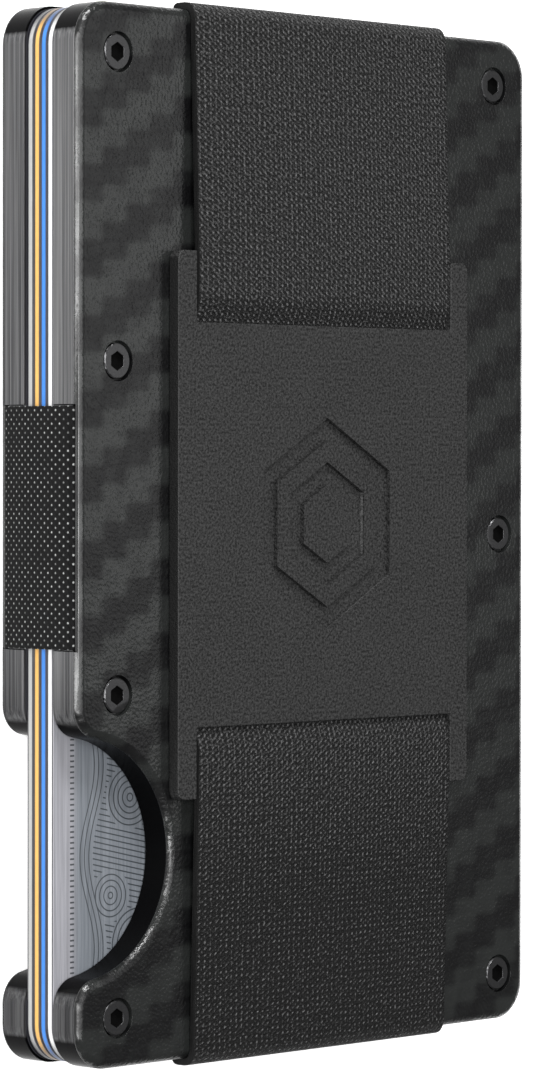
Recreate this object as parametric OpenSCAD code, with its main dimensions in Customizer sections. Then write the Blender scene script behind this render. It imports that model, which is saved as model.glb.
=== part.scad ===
// Card wallet: two screwed halves held together by elastic bands, with four cards between them
// and an elastic cash strap threaded through a pad on the front.
// Millimetres. X is the width, and the cards leave at +X. Y is the length. Z is the thickness,
// with the rear face at Z = 0 and the pad on top.

/* [Halves] */
// Width of both halves
plate_w = 54.4; // [54.3:0.1:56]
// Length of both halves
plate_l = 86; // [85.9:0.1:88]
// Radius of the halves' corners
corner_r = 3.2; // [2.8:0.1:3.6]
// Thickness of one half, outer plate and frame together
half_t = 2.93; // [2.9:0.01:3.2]
// Thickness of the outer plate where it shows at the rim
rim_t = 0.5; // [0.45:0.05:0.55]
// How far the rounded rim reaches in over the face
rim_in = 0.65; // [0.4:0.05:0.8]
// Thickness of the frame's wall
wall_t = 1.7; // [1.5:0.1:1.9]
// Thickness of the frame's floor, on the card side
floor_t = 0.9; // [0.85:0.05:0.95]
// Thickness of the liner on each frame's floor
liner_t = 0.15; // [0.1:0.05:0.2]

/* [Thumb notch] */
// Place of the notch's centre along the length
notch_y = -26; // [-27:0.5:-25.5]
// Radius of the notch
notch_r = 9.8; // [8.5:0.1:10]
// Radius of the rounded corners at its mouth
mouth_r = 2.5; // [2.3:0.1:2.7]

/* [Screws] */
// Distance of the left column from the left side
left_in = 4.45; // [4.2:0.05:4.8]
// Distance of the right column from the right side
right_in = 3.4; // [3.3:0.05:4.2]
// Distance of the upper right screw from the right side
upper_right_in = 4.25; // [3.8:0.05:4.6]
// Distance of the end rows from the middle
row_y = 39; // [38.6:0.1:39.2]
// Diameter of the counterbore in the outer plate
bore_d = 3.3; // [3.1:0.05:3.4]
// Diameter of the screw's head
head_d = 2.85; // [2.6:0.05:2.95]
// Diameter of the screw's shank
shank_d = 1.6; // [1.4:0.1:1.8]
// Width of the six-sided socket
socket_d = 1.6; // [1.3:0.05:1.6]

/* [Cards] */
// Width of a card
card_w = 53.98; // [53.9:0.01:54]
// Length of a card
card_l = 85.6; // [85.5:0.05:85.7]
// Thickness of a card
card_t = 0.76; // [0.68:0.01:0.84]
// Radius of a card's corners
card_r = 3.18; // [2.9:0.01:3.4]

/* [Elastic bands] */
// Thickness of the bands' elastic
band_t = 0.35; // [0.3:0.01:0.37]
// Width of the side band
side_band_w = 19.6; // [16:0.2:20]
// Place of the side band's centre along the length
side_band_y = 0.65; // [0.4:0.05:0.9]
// Width of the two end bands
end_band_w = 20; // [14:0.5:24]

/* [Cash strap] */
// Width of the strap
strap_w = 30.6; // [26:0.2:31]
// Thickness of the strap
strap_t = 0.6; // [0.5:0.01:0.6]
// Place of the strap and the pad across the width
strap_x = 0.65; // [0:0.05:1]

/* [Pad] */
// Width of the pad
pad_w = 35.35; // [35:0.05:36]
// Length of the pad
pad_l = 44.9; // [44:0.1:46]
// Height of the pad
pad_t = 1.1; // [1.1:0.05:1.3]
// Place of the pad's centre along the length
pad_y = 0.8; // [0:0.1:1]
// Length of the pad's middle, between its two slots
pad_mid_l = 33.2; // [32:0.2:34]
// Length of each slot
slot_l = 1.5; // [1.4:0.1:1.8]

/* [Hidden] */
$fn = 96;

side_x = -plate_w / 2;
end_y = plate_l / 2;
cut = 0.1;          // how far a cutting solid runs past the face it cuts
gap = 0.02;         // air between two cards, and between a card and a liner
ease = 0.03;        // air between neighbours that press on each other
card_count = 4;
stack_t = 2 * liner_t + card_count * card_t + (card_count + 1) * gap;
total_t = 2 * half_t + stack_t;
face_z = total_t;   // the front plate's face, where the strap and the pad lie

// The rim's rounded edge, as [depth below the face, distance in from the outline]
rim = [[0, rim_in], [0.25 * rim_t, 0.42 * rim_in], [0.8 * rim_t, 0], [rim_t, 0]];

land_t = 0.5;       // the plate's raised land, which drops inside the frame's wall
land_fit = 0.05;
liner_in = 0.2;     // how far the liner stays inside the outline

notch_x = side_x + 0.6;
mouth_x = side_x + mouth_r;
mouth_dy = sqrt(pow(notch_r + mouth_r, 2) - pow(mouth_x - notch_x, 2));

screws_at = [
  for (y = [row_y, 14.1, -12.9, -row_y]) [side_x + left_in, y],
  [-side_x - upper_right_in, row_y],
  for (y = [-0.3, -row_y]) [-side_x - right_in, y]
];
bore_depth = 0.55;
head_top = 0.08;    // how far the head lies below the face
head_bottom = bore_depth - gap;
socket_depth = 0.47;
tip_z = half_t - 0.53;
boss_r = 3;

relief = 0.17;      // shallow flat on the left side, where the side band passes
tab_t = band_t + ease;
tab_l = 6;          // how far the side band's ends reach in over their shelf
end_tab_l = 5;
end_run_y = card_l / 2 + ease;

anchor_t = 0.34;
anchor_l = 3;
tail_z = rim_t + land_t + ease + anchor_t + ease;
tail_y = end_y - wall_t - ease - anchor_l;
pad_fit = 0.2;      // room beside the strap in the pad's slots

module rounded_rect(w, l, r) {
  square([w - 2 * r, l], center = true);
  square([w, l - 2 * r], center = true);
  for (x = [-1, 1], y = [-1, 1])
    translate([x * (w / 2 - r), y * (l / 2 - r)]) circle(r);
}

// The middle of the notch's mouth, between the centres of its two rounded corners
module mouth() {
  polygon([
    [side_x - 1, notch_y - mouth_dy], [mouth_x, notch_y - mouth_dy], [notch_x, notch_y],
    [mouth_x, notch_y + mouth_dy], [side_x - 1, notch_y + mouth_dy]
  ]);
}

module at_mouth_corners() {
  for (s = [-1, 1])
    translate([mouth_x, notch_y + s * mouth_dy, 0]) children();
}

// Outline of a half, drawn in by a distance
module outline(in = 0) {
  difference() {
    rounded_rect(plate_w - 2 * in, plate_l - 2 * in, corner_r - in);
    difference() {
      union() {
        translate([notch_x, notch_y]) circle(notch_r + in);
        mouth();
      }
      at_mouth_corners() circle(mouth_r - in);
    }
  }
}

// A disc with the rim's rounded edge, and a straight bar with the same edge
module rim_disc(r, below = 0, above = 0) {
  rotate_extrude()
    polygon(concat(
      [[0, -below], [r - rim_in, -below]],
      [for (p = rim) [r - p[1], p[0]]],
      [[r, rim_t + above], [0, rim_t + above]]
    ));
}

module rim_bar(w, l) {
  rotate([90, 0, 0]) linear_extrude(l, center = true)
    polygon(concat(
      [for (p = rim) [w / 2 - p[1], p[0]]],
      [for (i = [len(rim) - 1:-1:0]) [rim[i][1] - w / 2, rim[i][0]]]
    ));
}

module notch_cutter() {
  difference() {
    union() {
      translate([notch_x, notch_y, 0]) rotate_extrude()
        polygon(concat(
          [[0, -cut], [notch_r + rim_in, -cut]],
          [for (p = rim) [notch_r + p[1], p[0]]],
          [[notch_r, rim_t + cut], [0, rim_t + cut]]
        ));
      translate([0, 0, -cut]) linear_extrude(rim_t + 2 * cut) mouth();
    }
    at_mouth_corners() rim_disc(mouth_r, 2 * cut, 2 * cut);
  }
}

module side_relief() {
  translate([side_x - 1, side_band_y - side_band_w / 2 - cut, -cut])
    cube([1 + relief, side_band_w + 2 * cut, total_t]);
}

// Both halves are drawn with their outer face at Z = 0; the front one is turned over
module front() {
  translate([0, 0, total_t]) mirror([0, 0, 1]) children();
}

// Thin plate with a rounded rim, a land that centres it in the frame, and bored for seven screws
module outer_plate() {
  shelf_w = side_band_w + 4 * cut;
  difference() {
    union() {
      rim_bar(plate_w, plate_l - 2 * corner_r);
      rotate([0, 0, 90]) rim_bar(plate_l, plate_w - 2 * corner_r);
      for (x = [-1, 1], y = [-1, 1])
        translate([x * (plate_w / 2 - corner_r), y * (plate_l / 2 - corner_r), 0])
          rim_disc(corner_r);
      translate([0, 0, rim_t]) linear_extrude(land_t) difference() {
        outline(wall_t + land_fit);
        translate([side_x, side_band_y - shelf_w / 2]) square([tab_l + 2 * cut, shelf_w]);
      }
    }
    notch_cutter();
    side_relief();
    for (p = screws_at) translate([p[0], p[1], 0]) {
      translate([0, 0, -cut]) cylinder(bore_depth + cut, d = bore_d);
      cylinder(rim_t + land_t + cut, d = shank_d + 0.2);
    }
  }
}

// Milled frame: wall, floor on the card side, screw bosses, and a shelf under the side band's end
module half_frame() {
  difference() {
    union() {
      difference() {
        translate([0, 0, rim_t]) linear_extrude(half_t - rim_t) outline();
        linear_extrude(half_t - floor_t) outline(wall_t);
      }
      for (p = screws_at)
        translate([p[0], p[1], rim_t + land_t]) cylinder(half_t - rim_t - land_t, r = boss_r);
      translate([side_x + wall_t / 2, side_band_y - side_band_w / 2 - cut, rim_t + tab_t])
        cube([tab_l - wall_t / 2, side_band_w + 2 * cut, half_t - rim_t - tab_t]);
    }
    for (p = screws_at)
      translate([p[0], p[1], 0]) cylinder(tip_z + cut, d = shank_d + 2 * gap);
    side_relief();
    translate([side_x - 1, side_band_y - side_band_w / 2 - cut, 0])
      cube([tab_l + 1, side_band_w + 2 * cut, rim_t + tab_t]);
    for (s = [-1, 1])
      translate([-end_band_w / 2 - cut, s * (end_y - end_tab_l / 2) - end_tab_l, half_t - tab_t])
        cube([end_band_w + 2 * cut, 2 * end_tab_l, tab_t + cut]);
  }
}

module screws() {
  for (p = screws_at) translate([p[0], p[1], 0]) difference() {
    union() {
      rotate_extrude()
        polygon([
          [0, head_top], [head_d / 2 - 0.1, head_top], [head_d / 2, head_top + 0.1],
          [head_d / 2, head_bottom], [0, head_bottom]
        ]);
      translate([0, 0, head_bottom - cut]) cylinder(tip_z - head_bottom + cut, d = shank_d);
    }
    translate([0, 0, -cut]) linear_extrude(socket_depth + cut)
      polygon([for (a = [30:60:330]) socket_d / 2 * [cos(a), sin(a)]]);
  }
}

module liner() {
  translate([0, 0, half_t]) linear_extrude(liner_t) outline(liner_in);
}

module card(n) {
  translate([0, 0, half_t + liner_t + gap + (n - 1) * (card_t + gap)])
    linear_extrude(card_t) rounded_rect(card_w, card_l, card_r);
}

// Runs down the left side over both frames, with each end clamped between a plate and its shelf
module band_on_side() {
  inner_x = side_x + relief - ease / 2;
  outer_x = inner_x - band_t;
  low = rim_t + ease / 2;
  high = total_t - low;
  tab_x = side_x + tab_l - ease;
  translate([0, side_band_y, 0]) rotate([90, 0, 0])
    linear_extrude(side_band_w, center = true)
      polygon([
        [tab_x, low], [inner_x - 0.1, low], [outer_x, low + 0.25],
        [outer_x, high - 0.25], [inner_x - 0.1, high], [tab_x, high],
        [tab_x, high - band_t], [inner_x, high - band_t],
        [inner_x, low + band_t], [tab_x, low + band_t]
      ]);
}

// Crosses the cards' ends, with each end in a groove between a frame and its liner
module band_on_end(s) {
  outer_y = end_run_y + band_t;
  low = half_t - band_t - ease / 2;
  high = total_t - low;
  tab_y = end_y - end_tab_l;
  rotate([90, 0, 90]) linear_extrude(end_band_w, center = true)
    polygon([
      [s * tab_y, low], [s * (outer_y - 0.15), low], [s * outer_y, low + 0.15],
      [s * outer_y, high - 0.15], [s * (outer_y - 0.15), high], [s * tab_y, high],
      [s * tab_y, high - band_t], [s * end_run_y, high - band_t],
      [s * end_run_y, low + band_t], [s * tab_y, low + band_t]
    ]);
}

// One side of the strap's section, from under the pad's middle to its anchored end.
// Heights under the pad are counted from the face, and those of the tail from the bottom.
strap_low = gap;
strap_bar = pad_t / 2 + ease;
strap_end = end_y + gap;
tail_top = total_t - tail_z;

function strap_outside(s) =
  let (slot = pad_y + s * pad_mid_l / 2, bar = slot + s * slot_l, tip = pad_y + s * pad_l / 2)
  [
    [slot, face_z + strap_low + strap_t],
    [bar + s * 0.1, face_z + strap_bar + strap_t],
    [tip + s * 0.1, face_z + strap_bar + strap_t],
    [s * (end_y - 0.3), face_z + strap_low + strap_t],
    [s * (strap_end + 0.7 * strap_t), face_z + 0.3 * strap_t],
    [s * (strap_end + strap_t), face_z - 0.5 * strap_t],
    [s * (strap_end + strap_t), tail_top - 0.6 * strap_t],
    [s * (strap_end + 0.6 * strap_t), tail_top - strap_t],
    [s * tail_y, tail_top - strap_t]
  ];

function strap_inside(s) =
  let (slot = pad_y + s * pad_mid_l / 2, bar = slot + s * slot_l, tip = pad_y + s * pad_l / 2)
  [
    [s * tail_y, tail_top],
    [s * strap_end, tail_top],
    [s * strap_end, face_z - rim[2][0]],
    [s * (end_y - rim[1][1] + gap), face_z - rim[1][0] + gap],
    [s * (end_y - rim_in), face_z + strap_low],
    [tip + s * 0.2, face_z + strap_bar],
    [bar - s * 0.2, face_z + strap_bar],
    [slot - s * 0.3, face_z + strap_low]
  ];

function reversed(list) = [for (i = [len(list) - 1:-1:0]) list[i]];

module rear_outer_plate() { color([0.13, 0.13, 0.14]) outer_plate(); }

module rear_frame() { color([0.36, 0.36, 0.38]) half_frame(); }

module rear_liner() { color([0.06, 0.06, 0.06]) liner(); }

module rear_screws() { color([0.22, 0.22, 0.23]) screws(); }

module front_outer_plate() { color([0.13, 0.13, 0.14]) front() outer_plate(); }

// The front frame also has a slot in each end wall for the strap's anchored end
module front_frame() {
  color([0.36, 0.36, 0.38]) difference() {
    front() half_frame();
    for (s = [-1, 1])
      translate([strap_x - strap_w / 2 - pad_fit, s * (end_y - wall_t / 2) - wall_t,
                 tail_top - strap_t - ease])
        cube([strap_w + 2 * pad_fit, 2 * wall_t, strap_t + 2 * ease]);
  }
}

module front_liner() { color([0.06, 0.06, 0.06]) front() liner(); }

module front_screws() { color([0.22, 0.22, 0.23]) front() screws(); }

module side_band() { color([0.08, 0.08, 0.08]) band_on_side(); }

module upper_end_band() { color([0.08, 0.08, 0.08]) band_on_end(1); }

module lower_end_band() { color([0.08, 0.08, 0.08]) band_on_end(-1); }

module cash_strap() {
  color([0.2, 0.2, 0.2])
    translate([strap_x, 0, 0]) rotate([90, 0, 90]) linear_extrude(strap_w, center = true)
      polygon(concat(strap_outside(1), strap_inside(1), reversed(strap_inside(-1)),
                     reversed(strap_outside(-1))));
}

// Moulded pad: two rails, a middle that lies over the strap and an end bar under it at each end
module strap_pad() {
  room_w = strap_w + 2 * pad_fit;
  color([0.24, 0.24, 0.24]) translate([strap_x, pad_y, face_z + ease]) difference() {
    linear_extrude(pad_t) rounded_rect(pad_w, pad_l, 0.8);
    translate([-room_w / 2, -pad_mid_l / 2 - slot_l, -cut])
      cube([room_w, pad_mid_l + 2 * slot_l, strap_t + gap + cut]);
    for (s = [-1, 1])
      translate([-room_w / 2, s * (pad_mid_l / 2 + pad_l / 2) - pad_l / 2,
                 pad_t / 2 - ease])
        cube([room_w, pad_l, pad_t]);
  }
}

module strap_anchor(s) {
  color([0.6, 0.6, 0.62])
    translate([strap_x - strap_w / 2, s * (tail_y + anchor_l / 2) - anchor_l / 2,
               tail_top + ease])
      cube([strap_w, anchor_l, anchor_t]);
}

module upper_strap_anchor() { strap_anchor(1); }

module lower_strap_anchor() { strap_anchor(-1); }

module card_1() { color([0.72, 0.72, 0.72]) card(1); }

module card_2() { color([0.85, 0.68, 0.36]) card(2); }

module card_3() { color([0.22, 0.52, 0.82]) card(3); }

module card_4() { color([0.82, 0.82, 0.84]) card(4); }

rear_outer_plate();
rear_frame();
rear_liner();
rear_screws();
front_outer_plate();
front_frame();
front_liner();
front_screws();
side_band();
upper_end_band();
lower_end_band();
cash_strap();
strap_pad();
upper_strap_anchor();
lower_strap_anchor();
card_1();
card_2();
card_3();
card_4();
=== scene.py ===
import math

import bpy
from mathutils import Matrix, Vector


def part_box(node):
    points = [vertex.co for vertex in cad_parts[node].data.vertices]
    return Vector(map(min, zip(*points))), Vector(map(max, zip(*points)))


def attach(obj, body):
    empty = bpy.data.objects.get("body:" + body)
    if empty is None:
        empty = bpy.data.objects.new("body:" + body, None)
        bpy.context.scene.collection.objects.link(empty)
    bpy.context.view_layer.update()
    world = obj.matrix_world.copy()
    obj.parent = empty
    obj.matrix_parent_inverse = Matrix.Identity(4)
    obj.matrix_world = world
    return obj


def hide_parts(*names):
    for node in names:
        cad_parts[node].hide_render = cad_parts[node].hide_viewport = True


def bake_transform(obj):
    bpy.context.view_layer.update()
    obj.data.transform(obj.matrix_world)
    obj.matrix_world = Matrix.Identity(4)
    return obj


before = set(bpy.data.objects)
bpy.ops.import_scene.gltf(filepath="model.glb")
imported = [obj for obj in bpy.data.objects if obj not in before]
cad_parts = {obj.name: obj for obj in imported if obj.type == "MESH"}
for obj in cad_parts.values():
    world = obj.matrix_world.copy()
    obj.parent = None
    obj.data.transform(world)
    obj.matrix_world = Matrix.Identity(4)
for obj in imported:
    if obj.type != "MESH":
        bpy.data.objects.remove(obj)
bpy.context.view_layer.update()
scene = bpy.context.scene

# Camera, floor and light. The wallet lies on a pale table, seen from its notch side. A soft box
# stands beyond its upper end, a tall one and a pale wall on the left, a wide one overhead, and a
# faint strip grazes the right edge. The room fills the rest.
scene.view_settings.view_transform = "Standard"

yaw, pitch, roll = math.radians(45.818), math.radians(-0.8308), math.radians(0.0688)
look = Vector((math.sin(yaw) * math.cos(pitch), math.sin(pitch), -math.cos(yaw) * math.cos(pitch)))
right = look.cross(Vector((0, 1, 0))).normalized()
up = right.cross(look)
right, up = (math.cos(roll) * right + math.sin(roll) * up,
             math.cos(roll) * up - math.sin(roll) * right)
lens = bpy.data.cameras.new("camera")
lens.sensor_fit = "VERTICAL"
lens.sensor_height = 36
lens.lens = 153.547  # mm
lens.clip_start = 0.01
camera = bpy.data.objects.new("camera", lens)
scene.collection.objects.link(camera)
camera_place = (-0.2786683, 0.0053731, 0.2747109)
camera_turn = Matrix((right, up, -look)).transposed().to_4x4()
camera.matrix_world = Matrix.Translation(camera_place) @ camera_turn
scene.camera = camera


def add(tree, kind, inputs={}, **settings):
    made = tree.nodes.new("ShaderNode" + kind)
    for key, value in settings.items():
        setattr(made, key, value)
    for key, value in inputs.items():
        if isinstance(value, bpy.types.NodeSocket):
            tree.links.new(value, made.inputs[key])
        else:
            made.inputs[key].default_value = value
    return made


def new_material(name, colour, roughness, **uniform):
    made = bpy.data.materials.new(name)
    made.use_nodes = True
    shader = made.node_tree.nodes["Principled BSDF"]
    shader.inputs["Base Color"].default_value = (*colour, 1)
    shader.inputs["Roughness"].default_value = roughness
    for key, value in uniform.items():
        shader.inputs[key.replace("_", " ")].default_value = value
    made.diffuse_color = (*colour, 1)
    return made, made.node_tree, shader


world = bpy.data.worlds.new("room")
scene.world = world
world.use_nodes = True
room_light = world.node_tree.nodes["Background"]
room_light.inputs["Color"].default_value = (1, 1, 1, 1)
room_light.inputs["Strength"].default_value = 0.18


def soft_box(name, place, aim, width, height, power):
    light = bpy.data.lights.new(name, "AREA")
    light.shape = "RECTANGLE"
    light.size, light.size_y = width, height
    light.energy = power
    made = bpy.data.objects.new(name, light)
    scene.collection.objects.link(made)
    away = Vector(place) - Vector(aim)
    made.matrix_world = Matrix.Translation(place) @ away.to_track_quat("Z", "Y").to_matrix().to_4x4()


soft_box("key", (-0.10, 0.52, 0.34), (0, 0, 0), 0.18, 0.18, 3.2)
soft_box("tall_strip", (-0.50, 0.03, 0.50), (0, 0, 0), 0.4, 0.2, 3.8)
soft_box("left_wall", (-0.75, 0.05, 0.30), (0, 0, 0), 0.7, 0.5, 0.5)
soft_box("right_edge", (0.076, 0.04, 0.125), (-0.025, 0.01, 0.01), 0.14, 0.05, 0.026)
soft_box("overhead", (-0.23, 0.03, 0.60), (0, 0, 0), 0.4, 0.34, 1.5)

# The table lies just under the rear face, so that the two never share a plane
bpy.ops.mesh.primitive_plane_add(size=4, location=(0, 0, -0.00002))
floor = bpy.context.object
floor.name = "floor"
floor_material, tree, shader = new_material("pale_table", (0.86, 0.86, 0.86), 0.9)
shader.inputs["Emission Color"].default_value = (1, 1, 1, 1)
shader.inputs["Emission Strength"].default_value = 0.62
floor.data.materials.append(floor_material)


# Outer plates: thin carbon-look laminate with a rounded rim, bored for the screws, one on each
# half. Cut from sheet, with the edge of every bore broken.
def select_only(piece):
    bpy.ops.object.select_all(action="DESELECT")
    bpy.context.view_layer.objects.active = piece
    piece.select_set(True)


def edit(piece, kind="VERT"):
    select_only(piece)
    bpy.ops.object.mode_set(mode="EDIT")
    bpy.ops.mesh.select_mode(type=kind)
    bpy.ops.mesh.select_all(action="SELECT")


def copy_of(node, name):
    """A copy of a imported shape, its loose triangles joined and its flat faces made whole"""
    piece = bpy.data.objects.new(name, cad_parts[node].data.copy())
    scene.collection.objects.link(piece)
    piece.data.materials.clear()
    edit(piece)
    bpy.ops.mesh.remove_doubles(threshold=1e-6)
    bpy.ops.mesh.dissolve_limited(angle_limit=math.radians(0.6))
    bpy.ops.mesh.normals_make_consistent(inside=False)
    bpy.ops.object.mode_set(mode="OBJECT")
    return piece


def round_edges(piece, sharpness, radius, segments=2):
    """Rounds edges that turn more than sharpness, in degrees, by radius, in millimetres"""
    edit(piece, "EDGE")
    bpy.ops.mesh.select_all(action="DESELECT")
    bpy.ops.mesh.edges_select_sharp(sharpness=math.radians(sharpness))
    bpy.ops.mesh.bevel(offset=radius / 1000, segments=segments, affect="EDGES", clamp_overlap=True)
    bpy.ops.object.mode_set(mode="OBJECT")


def modify(piece, kind, **settings):
    made = piece.modifiers.new(kind.lower(), kind)
    for key, value in settings.items():
        setattr(made, key, value)
    select_only(piece)
    bpy.ops.object.modifier_apply(modifier=made.name)


def shade(piece, angle):
    select_only(piece)
    bpy.ops.object.shade_smooth_by_angle(angle=math.radians(angle))
    modify(piece, "WEIGHTED_NORMAL", keep_sharp=True)


def finish_piece(piece, body, slot, material, *nodes):
    piece.data.materials.append(material)
    if body:
        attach(piece, body)
    if nodes:
        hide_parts(*nodes)


def millimetres(tree, scale=(1, 1, 1), kind="Object"):
    place = add(tree, "TexCoord")
    return add(tree, "Mapping", {"Vector": place.outputs[kind],
                                 "Scale": [1000 * s for s in scale]}).outputs["Vector"]


def maths(tree, operation, a, b=0.0, c=0.0):
    return add(tree, "Math", {0: a, 1: b, 2: c}, operation=operation).outputs[0]


def mix(tree, amount, low, high):
    """From the low colour to the high one, each a colour or a node's output"""
    low, high = (c if isinstance(c, bpy.types.NodeSocket) else (*c, 1) for c in (low, high))
    return add(tree, "MixRGB", {"Fac": amount, "Color1": low, "Color2": high}).outputs["Color"]


def emboss(tree, shader, height, strength, distance):
    """Bumps the surface by the height, over a distance in millimetres"""
    made = add(tree, "Bump", {"Height": height, "Strength": strength, "Distance": distance / 1000})
    tree.links.new(made.outputs["Normal"], shader.inputs["Normal"])


laminate, tree, shader = new_material("carbon_laminate", (0.02, 0.02, 0.02), 0.34,
                                      Specular_IOR_Level=0.5)
place = millimetres(tree)
axes = add(tree, "SeparateXYZ", {0: place})
warp_width, weft_width = 2.66, 1.51
tow_x = maths(tree, "MULTIPLY", axes.outputs["X"], 1 / warp_width)
tow_y = maths(tree, "MULTIPLY", axes.outputs["Y"], 1 / weft_width)


def soft_step(tree, value, blur):
    """The value's whole part, which rises to the next over the last part of its way"""
    rise = add(tree, "MapRange", {"Value": maths(tree, "FRACT", value), "From Min": 1 - blur},
               interpolation_type="SMOOTHSTEP").outputs[0]
    return maths(tree, "ADD", maths(tree, "FLOOR", value), rise)


# A two-over, two-under twill, its blocks blurred by the resin above them
turn = maths(tree, "SUBTRACT", soft_step(tree, tow_y, 0.5), soft_step(tree, tow_x, 0.4))
wave = maths(tree, "SINE", maths(tree, "MULTIPLY_ADD", turn, math.pi / 2, math.pi / 4))
cloud = add(tree, "TexNoise", {"Vector": place, "Scale": 0.45, "Detail": 3.0})
twill = add(tree, "Clamp", {0: maths(tree, "MULTIPLY_ADD", wave, -0.55, cloud.outputs["Fac"])})
twill = twill.outputs[0]
tree.links.new(mix(tree, twill, (0.0015, 0.0015, 0.0018), (0.0145, 0.0156, 0.0151)),
               shader.inputs["Base Color"])
skin = add(tree, "TexNoise", {"Vector": place, "Scale": 3.2, "Detail": 2.0, "Roughness": 0.6})
pores = add(tree, "TexVoronoi", {"Vector": place, "Scale": 3.8}, feature="SMOOTH_F1")
relief = maths(tree, "MULTIPLY_ADD", pores.outputs["Distance"], 0.9, skin.outputs["Fac"])
# The grain is rubbed down along the rim
rubbed = add(tree, "MapRange", {"Value": maths(tree, "ABSOLUTE", axes.outputs["X"]),
                                "From Min": 26.1, "From Max": 26.8, "To Min": 1.0, "To Max": 0.25})
relief = maths(tree, "MULTIPLY", relief, rubbed.outputs[0])
emboss(tree, shader, relief, 0.55, 0.07)
wear = add(tree, "TexNoise", {"Vector": place, "Scale": 0.12, "Detail": 4.0})
dull = maths(tree, "MULTIPLY_ADD", wear.outputs["Fac"], 0.1, 0.3)
tree.links.new(maths(tree, "MULTIPLY_ADD", twill, -0.12, dull), shader.inputs["Roughness"])

for half in ("front", "rear"):
    plate = copy_of(half + "_outer_plate", half + "_cover_plate")
    # The rim's facets are blended into the flat face, short of the bores' own sharp edges
    outer_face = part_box(half + "_outer_plate")[1 if half == "front" else 0][2]
    slight, sharp = 10, 60
    edges = {}
    for least in (slight, sharp):
        edit(plate, "EDGE")
        bpy.ops.mesh.select_all(action="DESELECT")
        bpy.ops.mesh.edges_select_sharp(sharpness=math.radians(least))
        bpy.ops.object.mode_set(mode="OBJECT")
        edges[least] = {edge.index for edge in plate.data.edges if edge.select}
    for edge in plate.data.edges:
        edge.select = edge.index in edges[slight] - edges[sharp] and all(
            abs(plate.data.vertices[v].co.z - outer_face) < 1e-6 for v in edge.vertices)
    bpy.ops.object.mode_set(mode="EDIT")
    bpy.ops.mesh.bevel(offset=0.0003, segments=4, affect="EDGES", clamp_overlap=True)
    bpy.ops.object.mode_set(mode="OBJECT")
    round_edges(plate, sharp, 0.06)
    shade(plate, 46)
    finish_piece(plate, half + "_half", "plate_laminate", laminate, half + "_outer_plate")

# Frames: milled aluminium, anodised black all over, then brushed with a belt along the two long
# sides, where the gunmetal grain shows; the black at their rounded corners is painted shade.
gunmetal, tree, shader = new_material("brushed_gunmetal", (0.16, 0.16, 0.165), 0.34,
                                      Specular_IOR_Level=0.03)
place = millimetres(tree)
axes = add(tree, "SeparateXYZ", {0: place})
grain = add(tree, "TexNoise", {"Vector": millimetres(tree, (1.0, 0.004, 1.0)), "Scale": 3.4,
                               "Detail": 5.0, "Roughness": 0.75})
broad = add(tree, "TexNoise", {"Vector": millimetres(tree, (0.3, 0.003, 0.3)), "Scale": 4.0,
                               "Detail": 2.0})
ragged = add(tree, "TexNoise", {"Vector": millimetres(tree, (0.1, 0.1, 1.0)), "Scale": 3.0})
# Painted shade: the brushed long sides turn black towards the rounded corners
reach = maths(tree, "ADD", maths(tree, "ABSOLUTE", axes.outputs["Y"]),
              maths(tree, "MULTIPLY_ADD", ragged.outputs["Fac"], 0.24, -0.12))
side_before_corner_shade = add(tree, "MapRange", {"Value": reach, "From Min": 40.5, "From Max": 40.8,
                                   "To Min": 1.0, "To Max": 0.0}).outputs[0]
outside = add(tree, "MapRange", {"Value": maths(tree, "ABSOLUTE", axes.outputs["X"]),
                                 "From Min": 26.75, "From Max": 27.0}).outputs[0]
# Painted shade: the sides are painted darker beside the notch and below it, towards the lower end
painted_shade_low_down = add(tree, "MapRange", {"Value": axes.outputs["Y"], "From Min": -14.5, "From Max": -9.5,
                                    "To Min": 0.62}).outputs[0]
brushed_less_painted_shade = maths(tree, "MULTIPLY", maths(tree, "MULTIPLY", side_before_corner_shade, outside), painted_shade_low_down)
streak = maths(tree, "MULTIPLY_ADD", broad.outputs["Fac"], 0.6,
               maths(tree, "MULTIPLY_ADD", grain.outputs["Fac"], 3.0, -1.3))
metal = mix(tree, add(tree, "Clamp", {0: streak}).outputs[0], (0.025, 0.025, 0.027),
            (0.16, 0.16, 0.162))
anodised_black_and_shade = (0.0022, 0.0022, 0.0024)
tree.links.new(mix(tree, brushed_less_painted_shade, anodised_black_and_shade, metal), shader.inputs["Base Color"])
tree.links.new(brushed_less_painted_shade, shader.inputs["Metallic"])
tree.links.new(add(tree, "MapRange", {"Value": brushed_less_painted_shade, "To Min": 0.24, "To Max": 0.4}).outputs[0],
               shader.inputs["Roughness"])
emboss(tree, shader, grain.outputs["Fac"], 0.25, 0.02)

for half in ("front", "rear"):
    body = copy_of(half + "_frame", half + "_milled_frame")
    round_edges(body, 50, 0.05)
    shade(body, 40)
    finish_piece(body, half + "_half", "frame_metal", gunmetal, half + "_frame")

# Liners: black polyester film, cut just inside the frame's outline and glued on its floor, so that
# the cards slide on it.
film, tree, shader = new_material("liner_film", (0.008, 0.008, 0.012), 0.5)
haze = add(tree, "TexNoise", {"Vector": millimetres(tree), "Scale": 0.8, "Detail": 5.0})
tree.links.new(add(tree, "MapRange", {"Value": haze.outputs["Fac"], "To Min": 0.4, "To Max": 0.62})
               .outputs[0], shader.inputs["Roughness"])
emboss(tree, shader, haze.outputs["Fac"], 0.1, 0.02)
for half in ("front", "rear"):
    liner = copy_of(half + "_liner", half + "_slide_film")
    shade(liner, 30)
    finish_piece(liner, half + "_half", "liner_film", film, half + "_liner")

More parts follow.
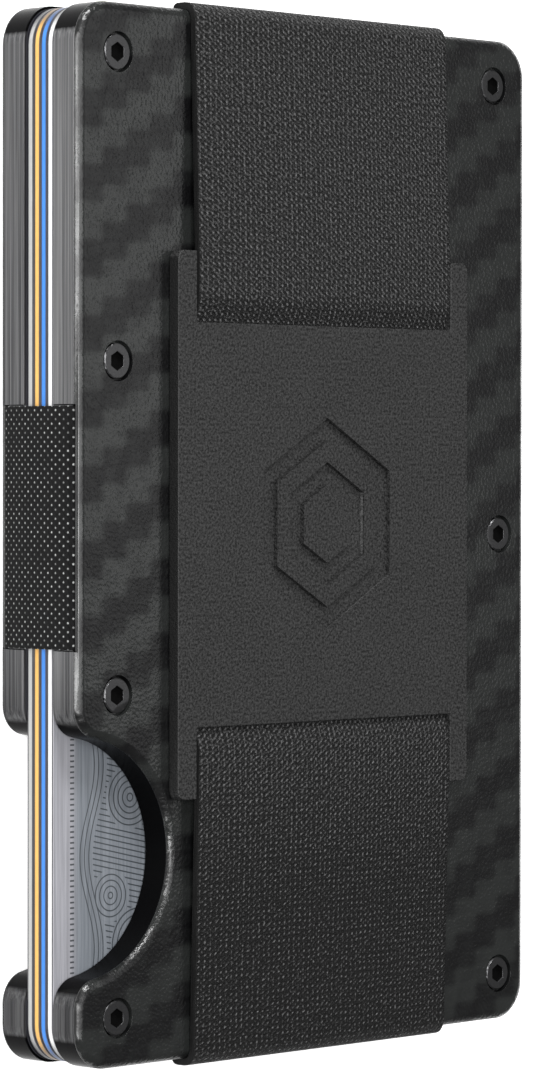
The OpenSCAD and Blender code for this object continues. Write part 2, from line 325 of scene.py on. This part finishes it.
# Screws: seven small steel screws a side with a six-sided socket, turned, rumbled and given a
# black oxide. They hold each outer plate on its frame.
oxide, tree, shader = new_material("black_oxide_steel", (0.05, 0.05, 0.052), 0.38, Metallic=0.85)
place = millimetres(tree)
grit = add(tree, "TexNoise", {"Vector": place, "Scale": 5.0, "Detail": 3.0})
steel_colour = mix(tree, grit.outputs["Fac"], (0.05, 0.05, 0.052), (0.09, 0.09, 0.092))
# Painted shade: below the top edge of each head the steel is painted near black and left dull, in the
# sockets and round the heads
mid_height, lit_depth = 4.65, 0.1
height = add(tree, "SeparateXYZ", {0: place}).outputs[2]
from_middle = maths(tree, "ABSOLUTE", maths(tree, "SUBTRACT", height, mid_height))
head_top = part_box("front_screws")[1][2] * 1000
painted_recess_shade = maths(tree, "LESS_THAN", from_middle, head_top - mid_height - lit_depth)
tree.links.new(mix(tree, painted_recess_shade, steel_colour, (0.001, 0.001, 0.001)), shader.inputs["Base Color"])
tree.links.new(maths(tree, "MULTIPLY_ADD", painted_recess_shade, 0.5, 0.33), shader.inputs["Roughness"])
emboss(tree, shader, grit.outputs["Fac"], 0.25, 0.02)
for half in ("front", "rear"):
    screws = copy_of(half + "_screws", half + "_socket_screws")
    round_edges(screws, 50, 0.04)
    shade(screws, 35)
    finish_piece(screws, half + "_half", "screw_steel", oxide, half + "_screws")

# Strap anchors: plain stamped steel strips, zinc plated, one on each end of the cash strap inside
# the front half. They keep the ends from pulling out.
steel, tree, shader = new_material("zinc_plated_steel", (0.5, 0.5, 0.52), 0.35, Metallic=1.0)
grain = add(tree, "TexNoise", {"Vector": millimetres(tree, (0.1, 2, 2)), "Scale": 3.0, "Detail": 4.0})
tree.links.new(add(tree, "MapRange", {"Value": grain.outputs["Fac"], "To Min": 0.25, "To Max": 0.5})
               .outputs[0], shader.inputs["Roughness"])
for end in ("upper", "lower"):
    anchor = copy_of(end + "_strap_anchor", end + "_anchor_plate")
    round_edges(anchor, 50, 0.06)
    shade(anchor, 40)
    finish_piece(anchor, "front_half", "anchor_steel", steel, end + "_strap_anchor")

# Cards: four bank-sized plastic cards with printed skins and rounded edges. The front one, which
# shows in the notch, is brushed and engraved with a plain pattern of lines.
def card_skin(name, colour, roughness):
    """Printed plastic, a little flecked and scuffed. Its colour is left for the caller to link"""
    printed, tree, shader = new_material(name, colour, roughness)
    place = millimetres(tree)
    fleck = add(tree, "TexNoise", {"Vector": place, "Scale": 3.0, "Detail": 3.0})
    scuff = add(tree, "TexNoise", {"Vector": millimetres(tree, (1, 0.1, 1)), "Scale": 1.5})
    tree.links.new(add(tree, "MapRange", {"Value": scuff.outputs["Fac"], "To Min": roughness - 0.1,
                                          "To Max": roughness + 0.12}).outputs[0],
                   shader.inputs["Roughness"])
    emboss(tree, shader, fleck.outputs["Fac"], 0.1, 0.02)
    print_colour = mix(tree, fleck.outputs["Fac"], tuple(0.85 * c for c in colour), colour)
    return printed, tree, shader, place, print_colour


def band_of(tree, value, low, high, soft=0.05):
    """1 where the value lies between low and high"""
    up_edge = add(tree, "MapRange", {"Value": value, "From Min": low, "From Max": low + soft})
    down_edge = add(tree, "MapRange", {"Value": value, "From Min": high, "From Max": high + soft,
                                       "To Min": 1.0, "To Max": 0.0})
    return maths(tree, "MULTIPLY", up_edge.outputs[0], down_edge.outputs[0])


half_width, half_length, corner_radius, edge_shade_reach = 26.99, 42.8, 3.18, 0.11
painted_shade_black = (0.006, 0.006, 0.012)
for number, name, colour in ((1, "silver", (0.36, 0.36, 0.355)), (2, "gold", (0.68, 0.37, 0.075)),
                             (3, "blue", (0.008, 0.175, 0.60)), (4, "grey", (0.74, 0.74, 0.74))):
    printed, tree, shader, place, print_colour = card_skin(name + "_card_skin", colour, 0.4)
    axes = add(tree, "SeparateXYZ", {0: place})
    x, y, z = (axes.outputs[i] for i in range(3))
    # Painted shade: the rounded edges are painted near black towards both faces, as in the gaps
    # between the cards
    low, high = (corner[2] * 1000 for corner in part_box("card_%d" % number))
    from_core = maths(tree, "ABSOLUTE", maths(tree, "SUBTRACT", z, (low + high) / 2))
    beyond = [maths(tree, "MAXIMUM", maths(tree, "SUBTRACT", maths(tree, "ABSOLUTE", axis),
                                           half_size - corner_radius), 0.0)
              for axis, half_size in ((x, half_width), (y, half_length))]
    beyond = maths(tree, "SQRT", maths(tree, "ADD", maths(tree, "POWER", beyond[0], 2.0),
                                       maths(tree, "POWER", beyond[1], 2.0)))
    at_edge = maths(tree, "GREATER_THAN", beyond, corner_radius - edge_shade_reach)
    painted_gap_shade = add(tree, "MapRange", {"Value": from_core, "From Min": 0.15, "From Max": 0.25})
    painted_gap_shade = maths(tree, "MULTIPLY", maths(tree, "MULTIPLY", painted_gap_shade.outputs[0], at_edge), 0.97)
    print_colour = mix(tree, painted_gap_shade, print_colour, painted_shade_black)
    # Painted shade: the edges are painted darker still towards the rounded corners
    corner_start = add(tree, "MapRange", {"Value": maths(tree, "ABSOLUTE", y), "From Min": 40.4,
                                          "From Max": 42.2}, interpolation_type="SMOOTHSTEP")
    painted_corner_shade = maths(tree, "MULTIPLY", maths(tree, "MULTIPLY", corner_start.outputs[0], 0.8), at_edge)
    print_colour = mix(tree, painted_corner_shade, print_colour, painted_shade_black)
    if number < 4:
        # A dark strip for the reader along the back
        strip = maths(tree, "MULTIPLY", band_of(tree, x, 10.0, 22.0),
                      maths(tree, "LESS_THAN", z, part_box("card_%d" % number)[0][2] * 1000 + 0.05))
        drawn = mix(tree, strip, print_colour, (0.01, 0.01, 0.012))
    else:
        face = maths(tree, "GREATER_THAN", z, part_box("card_4")[1][2] * 1000 - 0.05)
        brush = add(tree, "TexNoise", {"Vector": millimetres(tree, (1.0, 0.02, 1.0)), "Scale": 4.0,
                                       "Detail": 4.0, "Roughness": 0.7})
        wander = add(tree, "TexNoise", {"Vector": place, "Scale": 0.12, "Detail": 1.0})
        sway = maths(tree, "MULTIPLY_ADD", wander.outputs["Fac"], 3.0, -1.5)
        # Three long wavering lines, with slanted hatching beside them, and rings in two places
        river = maths(tree, "ADD", x, maths(tree, "MULTIPLY", maths(
            tree, "SINE", maths(tree, "MULTIPLY", y, 0.42)), 0.8))
        lines = 0.0
        for at in (-23.3, -22.8, -22.3):
            lines = maths(tree, "MAXIMUM", band_of(tree, river, at, at + 0.1), lines)
        slant = maths(tree, "MULTIPLY_ADD", x, 0.22, y)
        hatch = maths(tree, "FRACT", maths(tree, "MULTIPLY", slant, 1 / 0.47))
        hatch = maths(tree, "MULTIPLY", band_of(tree, hatch, 0.35, 0.58, 0.06),
                      maths(tree, "GREATER_THAN", river, -21.8))
        inside = 0.0
        rings = 0.0
        for at_x, at_y, reach, pitch in ((-18.4, -21.5, 2.7, 0.52), (-20.6, -29.4, 2.2, 0.5),
                                         (-17.4, -33.6, 3.2, 0.55), (2.0, 8.0, 14.0, 0.9)):
            far = maths(tree, "SQRT", maths(
                tree, "ADD", maths(tree, "POWER", maths(tree, "SUBTRACT", x, at_x), 2.0),
                maths(tree, "POWER", maths(tree, "SUBTRACT", y, at_y), 2.0)))
            far = maths(tree, "MULTIPLY_ADD", sway, 0.25, far)
            here = maths(tree, "LESS_THAN", far, reach)
            ring = maths(tree, "FRACT", maths(tree, "MULTIPLY", far, 1 / pitch))
            ring = maths(tree, "MULTIPLY", band_of(tree, ring, 0.36, 0.58, 0.07), here)
            rings = maths(tree, "MAXIMUM", ring, rings)
            inside = maths(tree, "MAXIMUM", here, inside)
        hatch = maths(tree, "MULTIPLY", hatch, maths(tree, "SUBTRACT", 1.0, inside))
        # A narrow scale of ticks runs down beside the edge
        ticks = maths(tree, "FRACT", maths(tree, "MULTIPLY", y, 1 / 0.44))
        ticks = maths(tree, "MULTIPLY", band_of(tree, ticks, 0.3, 0.62, 0.05),
                      band_of(tree, x, -25.15, -24.7))
        cuts = maths(tree, "MAXIMUM", maths(tree, "MAXIMUM", lines, hatch),
                     maths(tree, "MAXIMUM", rings, ticks))
        cuts = maths(tree, "MULTIPLY", cuts, face)
        engraved = add(tree, "MapRange", {"Value": x, "From Min": -25.0, "From Max": -24.2}).outputs[0]
        ground = mix(tree, brush.outputs["Fac"], (0.035, 0.042, 0.05), (0.265, 0.285, 0.315))
        margin = mix(tree, brush.outputs["Fac"], (0.11, 0.11, 0.12), (0.42, 0.42, 0.455))
        ground = mix(tree, engraved, margin, ground)
        ground = mix(tree, face, print_colour, ground)
        drawn = mix(tree, maths(tree, "MULTIPLY", cuts, 0.9), ground, (0.02, 0.024, 0.028))
    tree.links.new(drawn, shader.inputs["Base Color"])
    card = copy_of("card_%d" % number, name + "_bank_card")
    round_edges(card, 50, 0.1, 3)
    shade(card, 30)
    body = ("first", "second", "third", "fourth")[number - 1] + "_card"
    finish_piece(card, body, "card_" + name, printed, "card_%d" % number)

# Side band: black elastic with staggered rows of pale threads, stretched down the left side over
# both frames, its ends clamped under the outer plates.
def eased(corners, step, passes=2):
    """Points a step apart along a bent line, its corners eased"""
    line = [Vector(corners[0])]
    for a, b in zip(corners, corners[1:]):
        a, b = Vector(a), Vector(b)
        count = max(1, round((b - a).length / step))
        line += [a.lerp(b, (i + 1) / count) for i in range(count)]
    for _ in range(passes):
        middle = [(a + 2 * b + c) / 4 for a, b, c in zip(line, line[1:], line[2:])]
        line = [line[0]] + middle + [line[-1]]
    return line


def pull_band(name, path, width, columns, thickness, outward):
    """A flat band, pulled on from point to point of its path, which lies in the YZ plane"""
    first, second = path[0], path[1]
    bpy.ops.mesh.primitive_grid_add(x_subdivisions=columns, y_subdivisions=1, size=1,
                                    location=(0, 0, 0))
    band = bpy.context.object
    band.name = name
    edit(band)
    bpy.ops.transform.resize(value=(width / 1000, (second.x - first.x) / 1000, 1),
                             center_override=(0, 0, 0))
    bpy.ops.transform.translate(value=(0, (first.x + second.x) / 2000, first.y / 1000))
    bpy.ops.mesh.select_all(action="DESELECT")
    bpy.ops.object.mode_set(mode="OBJECT")
    for v in band.data.vertices:
        v.select = abs(v.co.y - second.x / 1000) < 1e-7
    bpy.ops.object.mode_set(mode="EDIT")
    bpy.ops.mesh.select_mode(type="VERT")
    for here, there in zip(path[1:], path[2:]):
        step = (0, (there.x - here.x) / 1000, (there.y - here.y) / 1000)
        bpy.ops.mesh.extrude_region_move(TRANSFORM_OT_translate={"value": step})
    bpy.ops.mesh.select_all(action="SELECT")
    bpy.ops.mesh.normals_make_consistent(inside=False)
    bpy.ops.object.mode_set(mode="OBJECT")
    if band.data.polygons[0].normal.z * outward < 0:
        edit(band)
        bpy.ops.mesh.flip_normals()
        bpy.ops.object.mode_set(mode="OBJECT")
    # The threads' coordinates: millimetres across the band, and along it from its first end
    along = [0.0]
    for here, there in zip(path, path[1:]):
        along.append(along[-1] + (there - here).length)
    for layer in list(band.data.uv_layers):
        band.data.uv_layers.remove(layer)
    threads = band.data.uv_layers.new(name="threads")
    for loop in band.data.loops:
        v = band.data.vertices[loop.vertex_index]
        threads.data[loop.index].uv = (v.co.x * 1000, along[v.index // (columns + 1)])
    modify(band, "SOLIDIFY", thickness=thickness / 1000, offset=-1.0, use_even_offset=True)
    round_edges(band, 60, 0.2 * thickness, 3)
    return band


elastic, tree, shader = new_material("dotted_elastic", (0.012, 0.012, 0.013), 0.8,
                                     Specular_IOR_Level=0.12)
threads = add(tree, "SeparateXYZ", {0: add(tree, "TexCoord").outputs["UV"]})
run = maths(tree, "SUBTRACT", threads.outputs["Y"], 6.0)
# The picks lie closer together towards the rear half, where the band is stretched less
pick = maths(tree, "MULTIPLY", run, maths(tree, "MULTIPLY_ADD", run, -0.062, 3.12))
end = maths(tree, "MULTIPLY_ADD", maths(tree, "FLOOR", pick), 0.5,
            maths(tree, "MULTIPLY", threads.outputs["X"], 1 / 0.727))
off_pick = maths(tree, "MULTIPLY", maths(tree, "SUBTRACT", maths(tree, "FRACT", pick), 0.5), 0.39)
off_end = maths(tree, "MULTIPLY", maths(tree, "SUBTRACT", maths(tree, "FRACT", end), 0.5), 0.6)
off = maths(tree, "SQRT", maths(tree, "ADD", maths(tree, "POWER", off_pick, 2.0),
                                maths(tree, "POWER", off_end, 2.0)))
dot = add(tree, "MapRange", {"Value": off, "From Min": 0.03, "From Max": 0.105, "To Min": 1.0,
                             "To Max": 0.0}, interpolation_type="SMOOTHSTEP").outputs[0]
which = add(tree, "CombineXYZ", {0: maths(tree, "FLOOR", pick), 1: maths(tree, "FLOOR", end)})
chance = add(tree, "TexWhiteNoise", {"Vector": which.outputs[0]}, noise_dimensions="2D")
fuzz = add(tree, "TexNoise", {"Vector": add(tree, "TexCoord").outputs["UV"], "Scale": 6.0,
                              "Detail": 3.0})
rib = maths(tree, "SINE", maths(tree, "MULTIPLY", maths(tree, "ADD", pick, end), 2 * math.pi))
ground = maths(tree, "MULTIPLY_ADD", rib, 0.25, fuzz.outputs["Fac"])
ground = mix(tree, add(tree, "Clamp", {0: ground}).outputs[0], (0.0005, 0.0005, 0.0005),
             (0.007, 0.007, 0.0073))
glow = maths(tree, "MULTIPLY", dot, maths(tree, "MULTIPLY_ADD", chance.outputs["Value"], 0.5, 0.2))
tree.links.new(mix(tree, glow, ground, (0.5, 0.51, 0.5)), shader.inputs["Base Color"])
relief = maths(tree, "MULTIPLY_ADD", fuzz.outputs["Fac"], 0.5, dot)
emboss(tree, shader, relief, 0.6, 0.08)

elastic_thickness, elastic_columns = 0.33, 24
path = eased([(21.23, 0.515), (27.12, 0.515), (27.42, 0.82), (27.56, 3.0), (27.56, 6.3),
              (27.42, 8.48), (27.12, 8.785), (21.23, 8.785)], 0.25)
band = pull_band("side_elastic", path, 19.6, elastic_columns, elastic_thickness, -1)
edit(band)
bpy.ops.transform.rotate(value=-math.pi / 2, orient_axis="Z", center_override=(0, 0, 0))
bpy.ops.transform.translate(value=(0, 0.00065, 0))
bpy.ops.object.mode_set(mode="OBJECT")
shade(band, 60)
finish_piece(band, None, "band_elastic", elastic, "side_band")
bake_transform(band)

# End bands: the same elastic, a short length across each end of the cards, clamped between a
# frame and its liner in each half.
for end, sign in (("upper", 1), ("lower", -1)):
    path = eased([(sign * 38, 2.565), (sign * 43.0, 2.565), (sign * 43.18, 2.75),
                  (sign * 43.18, 6.55), (sign * 43.0, 6.735), (sign * 38, 6.735)], 0.2, 1)
    band = pull_band(end + "_end_elastic", path, 20, elastic_columns, elastic_thickness, -1)
    shade(band, 60)
    finish_piece(band, None, "band_elastic", elastic, end + "_end_band")
    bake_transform(band)

# Cash strap: charcoal woven elastic over the front, in two lengths that meet under the pad. Each
# comes up over the pad's end bar, bends round the end of the wallet and goes in through its slot.
webbing, tree, shader = new_material("woven_elastic", (0.03, 0.03, 0.03), 0.7,
                                     Specular_IOR_Level=0.3)
cloth = add(tree, "TexCoord").outputs["UV"]
wander = add(tree, "TexNoise", {"Vector": cloth, "Scale": 0.35, "Detail": 2.0})
threads = add(tree, "SeparateXYZ", {0: cloth})
rib = maths(tree, "MULTIPLY_ADD", threads.outputs["X"], 1 / 0.585,
            maths(tree, "MULTIPLY", wander.outputs["Fac"], 0.5))
rib = maths(tree, "MULTIPLY_ADD", maths(tree, "POWER", threads.outputs["X"], 2.0), 0.006, rib)
pick = maths(tree, "MULTIPLY_ADD", threads.outputs["Y"], 1 / 0.516,
             maths(tree, "MULTIPLY", wander.outputs["Fac"], 0.8))


def ripple(amount, ribs, picks):
    turn = maths(tree, "MULTIPLY_ADD", rib, ribs * 2 * math.pi,
                 maths(tree, "MULTIPLY", pick, picks * 2 * math.pi))
    return maths(tree, "MULTIPLY", maths(tree, "COSINE", turn), amount)


fuzz = add(tree, "TexNoise", {"Vector": cloth, "Scale": 3.6, "Detail": 3.0, "Roughness": 0.7})
weave = maths(tree, "MULTIPLY_ADD", fuzz.outputs["Fac"], 2.6, -0.95)
for amount, ribs, picks in ((0.2, 1, 1), (0.14, 1, 0), (0.1, 1, 2), (0.08, 2, 0), (0.08, 1, -1),
                            (0.07, 0.5, 1.5)):
    weave = maths(tree, "ADD", weave, ripple(amount, ribs, picks))
# Painted shade: the lower length is painted darker and more contrasty towards its end, showing more
# black between its threads, as is the upper one where it dips under the pad
along = add(tree, "SeparateXYZ", {0: millimetres(tree)}).outputs[1]
painted_shade_amount = add(tree, "MapRange", {"Value": along, "From Min": -15, "From Max": -30, "To Max": 0.36})
painted_shade_amount = maths(tree, "MULTIPLY_ADD", band_of(tree, along, 0.0, 19.3, 0.5), 0.2, painted_shade_amount.outputs[0])
weave_with_painted_shade = maths(tree, "MULTIPLY", maths(tree, "SUBTRACT", weave, painted_shade_amount),
               maths(tree, "MULTIPLY_ADD", painted_shade_amount, 1.6, 1.0))
tone = add(tree, "MapRange", {"Value": weave_with_painted_shade, "From Min": 0.1, "From Max": 1.4},
           interpolation_type="SMOOTHSTEP").outputs[0]
tree.links.new(mix(tree, tone, (0.001, 0.001, 0.001), (0.15, 0.15, 0.151)),
               shader.inputs["Base Color"])
emboss(tree, shader, weave, 0.9, 0.18)

# Painted shade: the strap's thin sides are painted near black, with a faint streak of threads
shaded_side, tree, shader = new_material("webbing_shaded_side", (0.006, 0.006, 0.006), 0.85,
                                      Specular_IOR_Level=0.15)
strand = add(tree, "TexNoise", {"Vector": millimetres(tree, (1, 0.25, 3)), "Scale": 2.0,
                                "Detail": 3.0})
tree.links.new(mix(tree, strand.outputs["Fac"], (0.001, 0.001, 0.001), (0.014, 0.014, 0.014)),
               shader.inputs["Base Color"])
emboss(tree, shader, strand.outputs["Fac"], 0.6, 0.08)

strap_width, strap_thickness, strap_x = 30.6, 0.58, 0.65
for end, sign, slot, tip in (("upper", 1, 17.4, 23.25), ("lower", -1, -15.8, -21.65)):
    path = eased([(0.8, 9.92), (slot, 9.92), (slot + sign * 1.6, 10.48), (tip + sign * 0.1, 10.48),
                  (sign * 42.7, 9.94), (sign * 43.44, 9.5), (sign * 43.64, 9.0),
                  (sign * 43.64, 7.5), (sign * 43.4, 7.3), (sign * 38.3, 7.3)], 0.3)
    strap = pull_band(end + "_webbing", path, strap_width, 51, strap_thickness, 1)
    edit(strap)
    bpy.ops.transform.translate(value=(strap_x / 1000, 0, 0))
    bpy.ops.object.mode_set(mode="OBJECT")
    shade(strap, 60)
    finish_piece(strap, None, "strap_webbing", webbing, "cash_strap")
    strap.data.materials.append(shaded_side)
    for side in strap.data.polygons:
        side.material_index = 1 if abs(side.normal.x) > 0.35 else 0
    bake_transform(strap)

# Pad: one moulding in charcoal polymer, slotted at both ends for the strap, its edges broken and
# its face spark-eroded to a fine grain. A plain mark of two six-sided rings is sunk in its middle.
polymer, tree, shader = new_material("moulded_polymer", (0.04, 0.04, 0.04), 0.55,
                                     Specular_IOR_Level=0.3)
place = millimetres(tree)
grain = add(tree, "TexNoise", {"Vector": place, "Scale": 4.6, "Detail": 1.0, "Roughness": 0.6})
broad = add(tree, "TexNoise", {"Vector": place, "Scale": 0.25, "Detail": 2.0})
tone = maths(tree, "MULTIPLY_ADD", grain.outputs["Fac"], 0.8,
             maths(tree, "MULTIPLY", broad.outputs["Fac"], 0.05))
tone = maths(tree, "MULTIPLY_ADD", tone, 3.6, -1.03)
face_colour = mix(tree, add(tree, "Clamp", {0: tone}).outputs[0], (0.005, 0.005, 0.005),
                  (0.037, 0.037, 0.037))
# Painted shade: its outer side walls are painted near black
across = add(tree, "SeparateXYZ", {0: place}).outputs[0]
from_middle = maths(tree, "ABSOLUTE", maths(tree, "SUBTRACT", across, strap_x))
painted_side_shade = add(tree, "MapRange", {"Value": from_middle, "From Min": 17.62, "From Max": 17.66})
tree.links.new(mix(tree, painted_side_shade.outputs[0], face_colour, (0.009, 0.009, 0.009)),
               shader.inputs["Base Color"])
emboss(tree, shader, grain.outputs["Fac"], 0.8, 0.09)

pad = copy_of("strap_pad", "moulded_pad")
round_edges(pad, 50, 0.1, 3)
pad_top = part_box("strap_pad")[1][2]
mark_place = (strap_x / 1000, 0.0008, pad_top)
for outer, inner in ((8.9, 7.0), (5.2, 3.3)):
    bpy.ops.mesh.primitive_cylinder_add(vertices=6, radius=outer / 1000, depth=0.0009,
                                        location=mark_place)
    mark = bpy.context.object
    bpy.ops.mesh.primitive_cylinder_add(vertices=6, radius=inner / 1000, depth=0.0013,
                                        location=mark_place)
    island = bpy.context.object
    modify(mark, "BOOLEAN", object=island, operation="DIFFERENCE", solver="EXACT")
    modify(pad, "BOOLEAN", object=mark, operation="DIFFERENCE", solver="EXACT")
    bpy.data.objects.remove(mark)
    bpy.data.objects.remove(island)
shade(pad, 40)
finish_piece(pad, "pad", "pad_polymer", polymer, "strap_pad")
